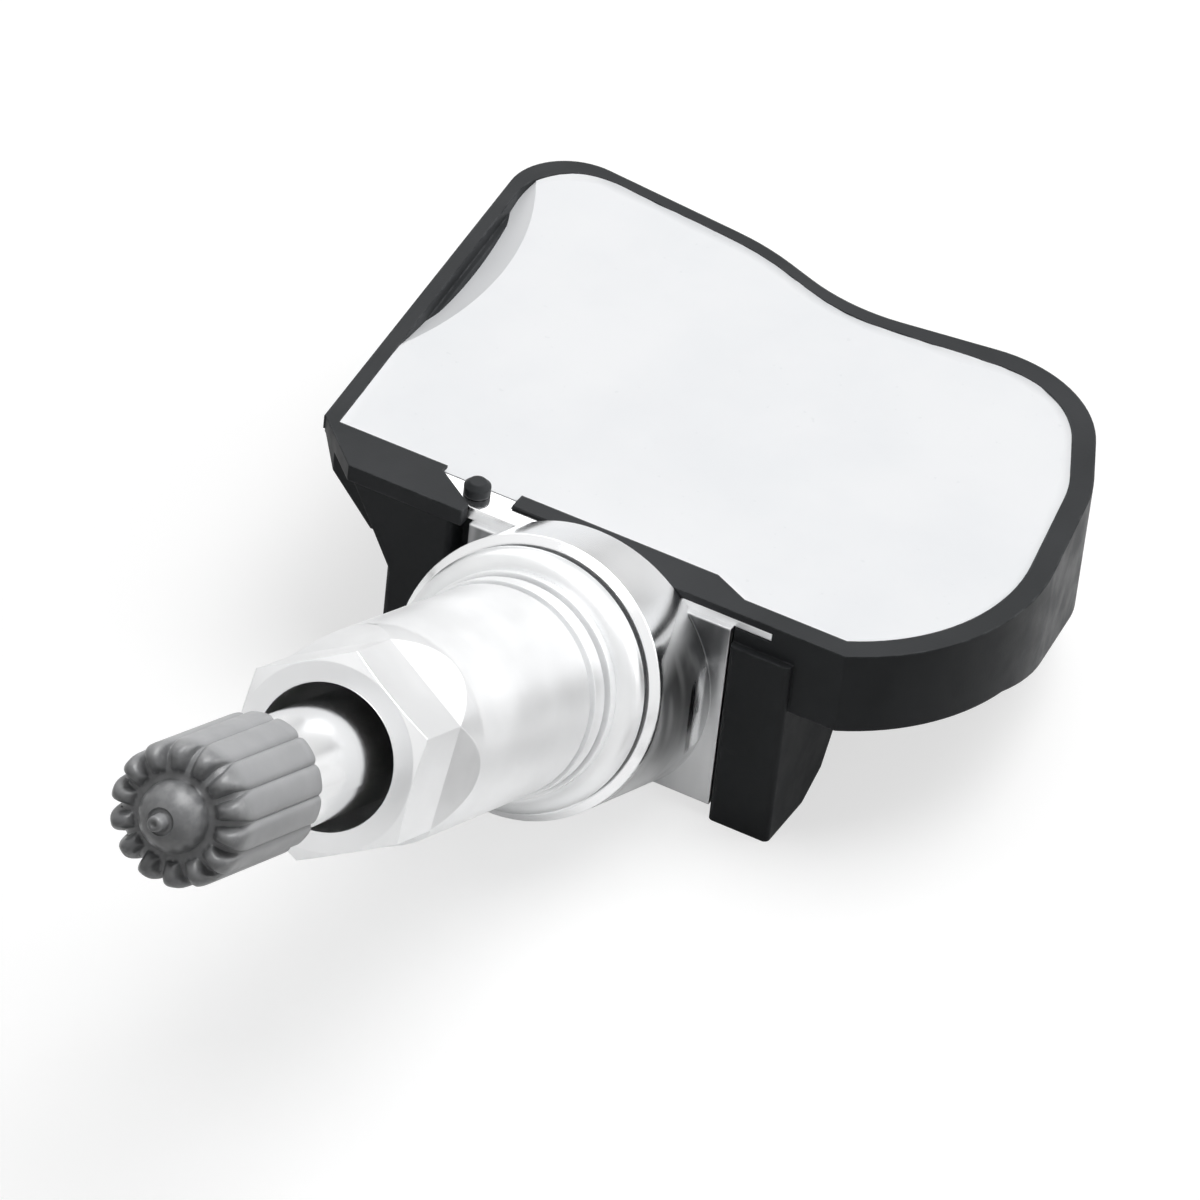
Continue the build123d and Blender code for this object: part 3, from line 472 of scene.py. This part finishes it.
def valve_alloy():
    """Bright plated metal, turned on the stem and boss, with painted reflections and painted shade on the block and
    on the boss's flanks, which are rougher there.
    """
    finish = turned_metal("valve_alloy", *PLATING, 0.16, 0.12 * MM, 0.14 * MM)
    bright, polish = finish.fed("Base Color"), finish.fed("Roughness")
    split = finish.node("ShaderNodeSeparateXYZ")
    finish.feed(split.inputs[0], finish.place)
    depth, height = split.outputs["Y"], split.outputs["Z"]
    block = finish.times(finish.spread(depth, *BLOCK_FRONT_FADE), finish.spread(height, *BLOCK_TOP_FADE))
    flank = finish.spread(finish.along_stem(), *FLANK_FRONT_FADE)
    painted_reflection_area = finish.math("MAXIMUM", block, finish.times(flank, finish.spread(height, *FLANK_REFLECTION_FADE)))
    matted = finish.math("MAXIMUM", block, finish.times(flank, finish.spread(height, *FLANK_MATT_FADE)))

    # Painted reflection and shade: pale low down, dark high up under the strip, with upright streaks of painted
    # reflection
    painted_reflection = finish.blend(finish.spread(height, *PAINTED_REFLECTION_HEIGHT), PAINTED_REFLECTION_PALE, PAINTED_REFLECTION_DARK)
    upright = finish.vector("MULTIPLY", finish.place, REFLECTION_STREAK_STRETCH)
    reflection_streak = finish.spread(finish.grain(1.8 * MM, 1, upright), 0.48, 0.68, 0.0, 0.75)
    painted_reflection = finish.blend(reflection_streak, painted_reflection, REFLECTION_STREAK_TONE)
    dullness = finish.times(matted, MATT_PATCH_ROUGHNESS)

    # A painted highlight and a painted dark reflected line, upright between boss and block
    across = finish.vector("DOT_PRODUCT", finish.place, REFLECTED_LINE_ACROSS)
    upright_share = finish.times(finish.spread(height, *REFLECTED_LINE_FOOT_FADE), finish.spread(height, *REFLECTED_LINE_HEAD_FADE))
    for place, half_width, tone in REFLECTED_LINES:
        away = finish.math("ABSOLUTE", finish.math("SUBTRACT", across, place))
        mark = finish.times(finish.spread(away, half_width, REFLECTED_LINE_CORE * half_width), upright_share)
        painted_reflection = finish.blend(mark, painted_reflection, tone)
        dullness = finish.times(dullness, finish.math("SUBTRACT", 1.0, mark))
    finish.paint(finish.blend(painted_reflection_area, bright, painted_reflection), finish.math("ADD", polish, dullness))
    return finish


def nut_alloy():
    """A turned, satin sleeve with a smoother milled hexagon at its front."""
    finish = turned_metal("nut_alloy", *PLATING, 0.44, 0.16 * MM, 0.12 * MM, mark_depth=0.002 * MM)
    milled = finish.spread(finish.along_stem(), *HEXAGON_FADE, 0.0, HEXAGON_SMOOTHER)
    finish.paint(roughness=finish.math("SUBTRACT", finish.fed("Roughness"), milled))
    return finish


def board_laminate():
    """Green solder mask with copper tracks under it."""
    finish = Finish("board_laminate", 0.35)
    tracks = finish.node("ShaderNodeTexBrick", offset=0.35, squash=0.6)
    finish.feed(tracks.inputs["Vector"], finish.place)
    tracks.inputs["Scale"].default_value = 1 / (6 * MM)
    tracks.inputs["Mortar Size"].default_value = 0.06
    tracks.inputs["Color1"].default_value = (0.012, 0.09, 0.035, 1)
    tracks.inputs["Color2"].default_value = (0.014, 0.1, 0.04, 1)
    tracks.inputs["Mortar"].default_value = (0.03, 0.2, 0.07, 1)
    finish.paint(tracks.outputs["Color"], finish.clouds(1.5 * MM, 0.25, 0.45))
    finish.relief([(tracks.outputs["Fac"], 0.03 * MM, 0.4), (finish.grain(0.2 * MM), 0.005 * MM, 0.3)])
    return finish


def wound_wire():
    """Enamelled copper, wound side by side."""
    finish = Finish("copper_wire", 0.3, metallic=1.0)
    turns = finish.node("ShaderNodeTexWave", wave_profile="SIN")
    finish.feed(turns.inputs["Vector"], finish.place)
    turns.inputs["Scale"].default_value = 1 / (1.2 * MM)
    turns.inputs["Distortion"].default_value = 0.4
    finish.paint(
        finish.blend(turns.outputs["Fac"], (0.42, 0.17, 0.07), (0.72, 0.36, 0.18)),
        finish.clouds(0.4 * MM, 0.22, 0.4),
    )
    finish.relief([(turns.outputs["Fac"], 0.06 * MM, 0.6)])
    return finish


def make_finishes():
    """One material for each of the record's slots."""
    finishes = [
        housing_plastic(),
        potting_resin(),
        valve_alloy(),
        nut_alloy(),
        turned_metal("clamp_alloy", (0.8, 0.81, 0.815), (0.9, 0.905, 0.91), 0.34, 0.1 * MM, 0.1 * MM),
        rough_metal("screw_steel", (0.42, 0.42, 0.43), (0.56, 0.56, 0.57), 0.38, 0.25 * MM),
        dull_solid("seal_rubber", (0.035, 0.035, 0.037), (0.07, 0.07, 0.073), 0.7, 0.12 * MM, 0.02 * MM),
        cap_plastic(),
        turned_metal("core_brass", (0.7, 0.5, 0.22), (0.8, 0.62, 0.32), 0.26, 0.08 * MM, 0.05 * MM),
        dull_solid("core_ptfe", (0.78, 0.77, 0.73), (0.86, 0.85, 0.81), 0.45, 0.3 * MM, 0.008 * MM),
        rough_metal("spring_steel", (0.48, 0.48, 0.49), (0.6, 0.6, 0.61), 0.25, 0.1 * MM),
        board_laminate(),
        rough_metal("cell_steel", (0.62, 0.62, 0.63), (0.72, 0.72, 0.73), 0.22, 0.3 * MM, 0.15 * MM),
        rough_metal("tab_nickel", (0.54, 0.53, 0.5), (0.66, 0.65, 0.62), 0.3, 0.2 * MM),
        dull_solid("chip_plastic", (0.013, 0.013, 0.014), (0.025, 0.025, 0.027), 0.5, 0.1 * MM, 0.008 * MM),
        dull_solid("ferrite", (0.06, 0.056, 0.052), (0.1, 0.094, 0.088), 0.6, 0.15 * MM, 0.02 * MM),
        wound_wire(),
        rough_metal("crystal_can", (0.62, 0.61, 0.58), (0.74, 0.73, 0.7), 0.28, 0.15 * MM),
        dull_solid("capacitor_body", (0.36, 0.28, 0.2), (0.46, 0.36, 0.26), 0.5, 0.12 * MM, 0.01 * MM),
    ]
    return {finish.slot: finish.material for finish in finishes}


def dress_nodes(materials):
    """Gives each CAD node its slot's material."""
    for part in frame["record"]["subparts"]:
        mesh = nodes[part["node"]].data
        mesh.materials.clear()
        mesh.materials.append(materials[part["material_slot"]])


def add_piece(name, points, faces, body, slot, materials, smooth_angle=40):
    """A mesh piece in the part's frame that rides on a body and takes a slot's finish."""
    mesh = bpy.data.meshes.new(name)
    mesh.from_pydata([tuple(p) for p in points], [], faces)
    mesh.validate()
    work = bmesh.new()
    work.from_mesh(mesh)
    bmesh.ops.recalc_face_normals(work, faces=work.faces)
    for edge in work.edges:
        edge.smooth = len(edge.link_faces) == 2 and edge.calc_face_angle() < math.radians(smooth_angle)
    for face in work.faces:
        face.smooth = True
    work.to_mesh(mesh)
    work.free()
    mesh.materials.append(materials[slot])
    piece = add_object(name, mesh)
    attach(piece, body)
    return piece


def add_thread(thread, materials):
    """A helical ridge round the stem, with a flat crest that runs out at both ends."""
    turns = (thread.end - thread.start) / thread.pitch
    steps = round(turns * THREAD_STEPS)
    sunk = thread.core - THREAD_SUNK
    points = []
    for step in range(steps + 1):
        turned = step / THREAD_STEPS
        angle = 2 * math.pi * turned
        across = STEM_SIDE * math.cos(angle) - STEM_UP * math.sin(angle)
        along = thread.start + thread.pitch * turned
        fade = min(1.0, turned / THREAD_RUN_OUT, (turns - turned) / THREAD_RUN_OUT)
        top = mix(thread.core, thread.crest, max(fade, 0.0))
        section = ((sunk, -THREAD_FOOT), (top, -THREAD_CREST), (top, THREAD_CREST), (sunk, THREAD_FOOT))
        for radius, shift in section:
            points.append(STEM_OUT * (along + shift * thread.pitch) + across * radius)
    faces = [(0, 1, 2, 3)]
    for step in range(steps):
        here, there = 4 * step, 4 * step + 4
        for side in range(4):
            after = (side + 1) % 4
            faces.append((here + side, here + after, there + after, there + side))
    faces.append(tuple(4 * steps + side for side in (3, 2, 1, 0)))
    add_piece(thread.name, points, faces, "sensor", "valve_alloy", materials)


def quarter_turn(steps):
    """The angles of a quarter turn in equal steps, without its start."""
    return [math.radians(90 / steps * step) for step in range(1, steps + 1)]


def slot_floor(share):
    """The place on the curved floor of the slots between the petals, from the barrel (0) to the dish (1)."""
    rest = 1 - share
    weights = (rest ** 3, 3 * share * rest ** 2, 3 * share ** 2 * rest, share ** 3)
    return tuple(sum(weight * end[axis] for weight, end in zip(weights, CAP_SLOT)) for axis in (0, 1))


def cap_rows():
    """The cap's outline in steps: crest and valley as (radius, distance), and how far slots part the lobes."""
    rows = [(place, place, 0.0) for place in CAP_BORE]
    rim = CAP_BORE[-1][1]
    rows.append(((CAP_RIM[0], rim), (CAP_RIM[1], rim), 0.0))
    for step in range(BARREL_STEPS + 1):
        along = mix(*CAP_BARREL, step / BARREL_STEPS)
        rows.append(((CAP_CREST, along), (CAP_VALLEY, along), 0.0))

    crest = []
    for step in range(1, RISE_STEPS + 1):
        crest.append((CAP_CREST, mix(CAP_BARREL[1], CAP_SHOULDER[1], step / RISE_STEPS)))
    for angle in quarter_turn(SHOULDER_STEPS):
        radius = mix(CAP_SHOULDER[0], CAP_CREST, math.cos(angle))
        crest.append((radius, mix(CAP_SHOULDER[1], CAP_TOP, math.sin(angle))))
    for angle in quarter_turn(DISH_STEPS):
        radius = mix(CAP_SHOULDER[0], CAP_DISH[0], math.sin(angle))
        crest.append((radius, mix(CAP_DISH[1], CAP_TOP, math.cos(angle))))
    for step, place in enumerate(crest, 1):
        share = step / len(crest)
        parted = min(1.0, share / PARTING_SHARE)
        rows.append((place, slot_floor(share), parted * parted * (3 - 2 * parted)))

    plain = list(CAP_GROOVE)
    for angle in map(math.radians, DOME_DEGREES):
        plain.append((CAP_DOME[0] * math.cos(angle), CAP_DISH[1] + CAP_DOME[1] * math.sin(angle)))
    return rows + [(place, place, 0.0) for place in (*plain, *CAP_TIP)]


def add_cap(materials):
    """The fluted cap: lobes with sharp valleys, parted by slots into round petals in front, and a domed end."""
    places = (*LOBE_PLACES, 1.0, *(2.0 - place for place in reversed(LOBE_PLACES[1:])))
    count = CAP_LOBES * len(places)
    points = []
    for crest, valley, parted in cap_rows():
        petal = mix(1.0, PETAL_SHARE, parted)
        flank_power, top_power = (mix(*powers, parted) for powers in zip(FLUTE_POWERS, PETAL_POWERS))
        for lobe in range(CAP_LOBES):
            for place in places:
                angle = 2 * math.pi / CAP_LOBES * (lobe + place / 2)
                away = min(place, 2 - place)
                height = max(0.0, 1 - (away / petal) ** flank_power) ** top_power
                radius = mix(valley[0], crest[0], height) * MM
                along = mix(valley[1], crest[1], height) * MM
                points.append(STEM_OUT * along + (STEM_SIDE * math.cos(angle) + STEM_UP * math.sin(angle)) * radius)
    last = len(points) - count
    faces = [tuple(range(count))]
    for here in range(0, last, count):
        there = here + count
        for index in range(count):
            after = (index + 1) % count
            faces.append((here + index, here + after, there + after, there + index))
    faces.append(tuple(last + index for index in reversed(range(count))))
    cap = add_piece("fluted_cap", points, faces, "cap", "cap_plastic", materials, CAP_SMOOTH_ANGLE)
    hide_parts("valve_cap")


def potting_edge():
    """The potting's top edge as points in order, and for each side from a point whether a wall stands behind it."""
    work = bmesh.new()
    work.from_mesh(nodes["potting"].data)
    bmesh.ops.remove_doubles(work, verts=work.verts, dist=0.001 * MM)
    level = max(v.co.z for v in work.verts)
    top = {f for f in work.faces if f.normal.z > 0.999 and f.calc_center_median().z > level - 0.02 * MM}
    links = {}
    for edge in work.edges:
        inside = [f for f in edge.link_faces if f in top]
        if len(inside) != 1:
            continue
        outside = [f for f in edge.link_faces if f not in top]
        upright = bool(outside) and abs(outside[0].normal.z) < 0.3
        for a, b in (edge.verts, reversed(edge.verts)):
            links.setdefault(a.index, []).append((b.index, upright))
    places = {v.index: v.co.copy() for v in work.verts}
    work.free()
    first = min(links, key=lambda i: places[i].x)
    order, walls = [first], []
    before, here = None, first
    while True:
        there, upright = next(link for link in links[here] if link[0] != before)
        walls.append(upright)
        if there == first:
            break
        order.append(there)
        before, here = here, there
    return [places[i] for i in order], walls


def even_loop(corners, walls, spacing):
    """The loop's points at an even spacing, each with 1 where a wall stands behind it."""
    points, flags = [], []
    for index, corner in enumerate(corners):
        after = corners[(index + 1) % len(corners)]
        count = max(1, round((after - corner).length / spacing))
        for part in range(count):
            points.append(corner.lerp(after, part / count))
            flags.append(1.0 if walls[index] else 0.0)
    return points, flags


def wall_heights(points, flags):
    """How high the resin climbs at each point as a share, falling off towards the ends of a wall and at the notch."""
    count = len(points)
    for index, point in enumerate(points):
        if NOTCH_X[0] < point.x < NOTCH_X[1] and point.y < NOTCH_BACK:
            flags[index] = 0.0
    reach = range(-WALL_FADE_POINTS, WALL_FADE_POINTS + 1)
    return [flags[i] * sum(flags[(i + k) % count] for k in reach) / len(reach) for i in range(count)]


def add_meniscus(materials):
    """The resin's concave rim, uneven in height and width, where it wets the tray's wall."""
    points, flags = even_loop(*potting_edge(), MENISCUS_SPACING)
    heights = wall_heights(points, flags)
    count = len(points)
    area = sum(a.x * b.y - b.x * a.y for a, b in zip(points, points[1:] + points[:1]))
    corners = []
    for index, point in enumerate(points):
        ahead = points[(index + 2) % count] - points[index - 2]
        inward = Vector((-ahead.y, ahead.x, 0)).normalized() * (1 if area > 0 else -1)
        wander = sum(share * noise.noise(point * scale) for scale, share in MENISCUS_WANDER)
        rise = MENISCUS_RISE * heights[index] * (1 + wander)
        width = MENISCUS_WIDTH * (1 + WIDTH_WANDER * wander)
        for step in range(MENISCUS_STEPS + 1):
            across = step / MENISCUS_STEPS
            lift = rise * (1 - across) ** MENISCUS_CURVE - MENISCUS_DIP * across
            corners.append(point + inward * (width * across + MENISCUS_INSET) + Vector((0, 0, lift)))
        for across in (width, MENISCUS_INSET):
            corners.append(point + inward * across - Vector((0, 0, MENISCUS_SUNK)))
    size = MENISCUS_STEPS + 3
    faces = []
    for index in range(count):
        here, there = index * size, (index + 1) % count * size
        for step in range(size):
            after = (step + 1) % size
            faces.append((here + step, there + step, there + after, here + after))
    add_piece("potting_meniscus", corners, faces, "sensor", "potting_resin", materials)


def add_surround():
    """A world that is white to the camera, almost white in mirrors and dim as a light."""
    world = bpy.data.worlds.new("surround")
    bpy.context.scene.world = world
    world.use_nodes = True
    sky = NodeTree(world.node_tree)
    shade = sky.tree.nodes["Background"]
    shade.inputs["Color"].default_value = WHITE
    split = sky.node("ShaderNodeSeparateXYZ")
    sky.feed(split.inputs[0], sky.node("ShaderNodeTexCoord").outputs["Generated"])
    mirrored = sky.spread(split.outputs["Z"], 0.0, SKY_FULL_HEIGHT, SKY_HORIZON, 1.0, "LINEAR")
    level = sky.spread(sky.rays("Is Glossy Ray"), 0.0, 1.0, SKY_LIGHT, mirrored, "LINEAR")
    sky.feed(shade.inputs["Strength"], sky.math("MAXIMUM", level, sky.rays("Is Camera Ray", "Is Transmission Ray")))


def add_floor():
    """A pale floor that keeps the part's shadow, and is clear when seen from below."""
    mesh = bpy.data.meshes.new("floor")
    corners = ((-1, -1), (1, -1), (1, 1), (-1, 1))
    mesh.from_pydata([(x * FLOOR_HALF, y * FLOOR_HALF, FLOOR_LEVEL) for x, y in corners], [], [(0, 1, 2, 3)])
    floor = add_object("floor", mesh)
    finish = Finish("floor_white", 0.9, specular=0.0)
    straight = finish.rays("Is Camera Ray", "Is Transmission Ray")
    mirrored = finish.rays("Is Glossy Ray")
    finish.paint(finish.blend(straight, finish.blend(mirrored, FLOOR_TO_LAMPS, FLOOR_TO_MIRRORS), FLOOR_TO_CAMERA))
    glow = finish.math("ADD", finish.times(straight, GLOW_TO_CAMERA), finish.times(mirrored, GLOW_TO_MIRRORS))
    finish.shader.inputs["Emission Color"].default_value = WHITE
    finish.feed(finish.shader.inputs["Emission Strength"], glow)
    one_sided = finish.node("ShaderNodeMixShader")
    finish.feed(one_sided.inputs["Fac"], finish.node("ShaderNodeNewGeometry").outputs["Backfacing"])
    finish.feed(one_sided.inputs[1], finish.shader.outputs["BSDF"])
    finish.feed(one_sided.inputs[2], finish.node("ShaderNodeBsdfTransparent").outputs["BSDF"])
    finish.feed(finish.tree.nodes["Material Output"].inputs["Surface"], one_sided.outputs["Shader"])
    mesh.materials.append(finish.material)


def add_card(name):
    """A round dark card on the floor that only mirrors see, glowing dim in its middle and near white at its edge, to
    paint a dark reflection in the hexagon.
    """
    middle = Vector((*CARD_PLACE, FLOOR_LEVEL + CARD_LIFT))
    turns = [2 * math.pi * step / CARD_STEPS for step in range(CARD_STEPS)]
    corners = [middle + CARD_RADII[1] * Vector((math.cos(turn), math.sin(turn), 0)) for turn in turns]
    mesh = bpy.data.meshes.new(name)
    mesh.from_pydata(corners, [], [tuple(range(CARD_STEPS))])
    finish = Finish(name, 1.0, specular=0.0)
    finish.shader.inputs["Base Color"].default_value = (0, 0, 0, 1)
    finish.shader.inputs["Emission Color"].default_value = WHITE
    away = finish.vector("DISTANCE", finish.place, middle[:])
    finish.feed(finish.shader.inputs["Emission Strength"], finish.spread(away, *CARD_RADII, *CARD_LEVELS))
    mesh.materials.append(finish.material)
    card = add_object(name, mesh)
    card.visible_camera = False
    card.visible_diffuse = False
    card.visible_transmission = False
    card.visible_shadow = False


def add_lamp(name, place, size, power):
    """A soft square lamp that points at the part's middle."""
    data = bpy.data.lights.new(name, "AREA")
    data.size = size
    data.energy = power
    target = (cad_box[0] + cad_box[1]) / 2
    aim = (target - Vector(place)).to_track_quat("-Z", "Y")
    add_object(name, data).matrix_world = Matrix.Translation(place) @ aim.to_matrix().to_4x4()


look_through_camera()
finishes = make_finishes()
dress_nodes(finishes)
for thread in THREADS:
    add_thread(thread, finishes)
add_cap(finishes)
add_meniscus(finishes)
add_surround()
add_floor()
add_card("hexagon_card")
for lamp in LAMPS:
    add_lamp(*lamp)
bpy.context.scene.view_settings.view_transform = "Standard"
